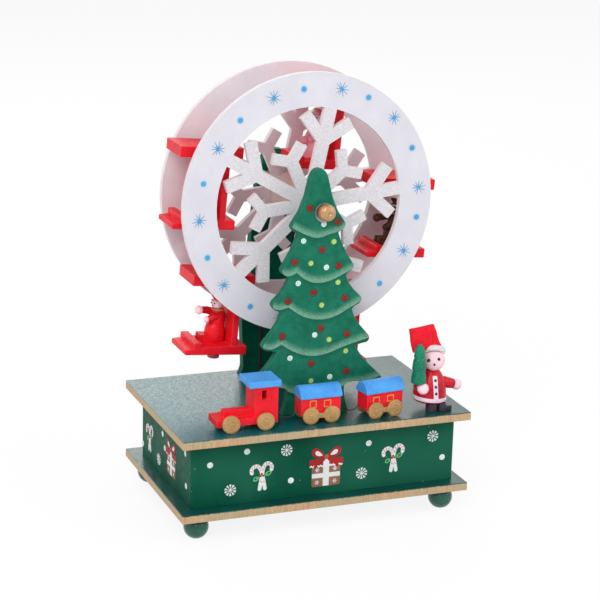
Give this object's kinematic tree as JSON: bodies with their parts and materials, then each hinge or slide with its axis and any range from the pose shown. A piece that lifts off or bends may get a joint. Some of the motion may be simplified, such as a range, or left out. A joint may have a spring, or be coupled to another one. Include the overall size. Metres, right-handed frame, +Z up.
{
  "type": "hand cranked ferris wheel toy",
  "caption": "Hand-cranked wooden Ferris wheel on a box, with snowflake discs, hanging gondolas, a painted tree stand, a toy train and a doll.",
  "frame": {"origin": "middle of the whole toy's footprint, on the surface that it stands on", "axes": "+X right along the front edge, +Y to the back, +Z up; the wheel turns about Y"},
  "size_m": [0.18, 0.1388, 0.2628],
  "materials": {
    "dark_green": "gloss paint on wood",
    "tree_green": "satin paint on plywood",
    "white": "satin paint on plywood",
    "red": "gloss paint on wood",
    "blue": "satin paint on wood",
    "gold_wood": "varnished wood",
    "pale_wood": "bare wood",
    "copper": "metallic paint on wood",
    "pink": "satin paint on wood",
    "brown": "satin paint on wood",
    "skin": "satin paint on wood",
    "steel": "bright",
    "brass": "satin",
    "rubber": "matt"
  },
  "bodies": {
    "base": {"bottom_plank": "dark_green", "top_plank": "dark_green", "front_wall": "dark_green", "back_wall": "dark_green", "left_wall": "dark_green", "right_wall": "dark_green", "front_left_foot": "dark_green", "rear_left_foot": "dark_green", "front_right_foot": "dark_green", "rear_right_foot": "dark_green", "rear_post": "dark_green", "front_tree": "tree_green", "music_comb": "steel", "loco_front_wheels": "gold_wood", "loco_rear_wheels": "gold_wood", "wagon_1_wheels": "gold_wood", "wagon_2_wheels": "gold_wood", "drive_belt": "rubber", "loco_body": "red", "wagon_1_body": "red", "wagon_2_body": "red", "doll_body": "red", "music_frame": "brass", "loco_roof": "blue", "wagon_1_roof": "blue", "wagon_2_roof": "blue", "doll_head": "skin"},
    "wheel": {"front_disc": "white", "rear_disc": "white", "wheel_hub": "pale_wood", "axle": "steel", "axle_bead": "copper", "axle_washer": "steel", "axle_pulley": "gold_wood", "gondola_1_pin": "steel", "gondola_2_pin": "steel", "gondola_3_pin": "steel", "gondola_4_pin": "steel", "gondola_5_pin": "steel"},
    "gondola_1": {"gondola_1_roof": "red", "gondola_1_seat": "red", "gondola_1_rider": "brown"},
    "gondola_2": {"gondola_2_roof": "red", "gondola_2_seat": "red", "gondola_2_rider": "pink"},
    "gondola_3": {"gondola_3_roof": "red", "gondola_3_seat": "red", "gondola_3_rider": "red"},
    "gondola_4": {"gondola_4_roof": "red", "gondola_4_seat": "red", "gondola_4_rider": "red"},
    "gondola_5": {"gondola_5_roof": "red", "gondola_5_seat": "red", "gondola_5_rider": "pink"},
    "crank": {"crank_shaft": "steel", "crank_pulley": "gold_wood", "crank_arm": "steel"},
    "grip": {"crank_grip": "red"},
    "music_drum": {"music_cylinder": "brass"}
  },
  "joints": [
    {"name": "wheel_spin", "type": "hinge", "parent": "base", "child": "wheel", "pos_m": [0.0017, 0.00115, 0.185], "axis": [0, 1, 0], "continuous": true},
    {"name": "gondola_1_swing", "type": "hinge", "parent": "wheel", "child": "gondola_1", "pos_m": [0.06729, 0.00115, 0.19236], "axis": [0, 1, 0], "continuous": true},
    {"name": "gondola_2_swing", "type": "hinge", "parent": "wheel", "child": "gondola_2", "pos_m": [0.01497, 0.00115, 0.24965], "axis": [0, 1, 0], "continuous": true},
    {"name": "gondola_3_swing", "type": "hinge", "parent": "wheel", "child": "gondola_3", "pos_m": [-0.05569, 0.00115, 0.2176], "axis": [0, 1, 0], "continuous": true},
    {"name": "gondola_4_swing", "type": "hinge", "parent": "wheel", "child": "gondola_4", "pos_m": [-0.04704, 0.00115, 0.1405], "axis": [0, 1, 0], "continuous": true},
    {"name": "gondola_5_swing", "type": "hinge", "parent": "wheel", "child": "gondola_5", "pos_m": [0.02897, 0.00115, 0.1249], "axis": [0, 1, 0], "continuous": true},
    {"name": "crank_spin", "type": "hinge", "parent": "base", "child": "crank", "pos_m": [0.0017, 0.00115, 0.0384], "axis": [0, 1, 0], "continuous": true},
    {"name": "grip_spin", "type": "hinge", "parent": "crank", "child": "grip", "pos_m": [0.0017, 0.0599, 0.0224], "axis": [0, 1, 0], "continuous": true},
    {"name": "music_spin", "type": "hinge", "parent": "base", "child": "music_drum", "pos_m": [-0.015, 0.00085, 0.0287], "axis": [1, 0, 0], "continuous": true}
  ],
  "couplings": [
    {"joint": "gondola_1_swing", "follows": "wheel_spin", "ratio": -1},
    {"joint": "gondola_2_swing", "follows": "wheel_spin", "ratio": -1},
    {"joint": "gondola_3_swing", "follows": "wheel_spin", "ratio": -1},
    {"joint": "gondola_4_swing", "follows": "wheel_spin", "ratio": -1},
    {"joint": "gondola_5_swing", "follows": "wheel_spin", "ratio": -1},
    {"joint": "crank_spin", "follows": "wheel_spin", "ratio": 1},
    {"joint": "music_spin", "follows": "wheel_spin", "ratio": 0.0625}
  ]
}
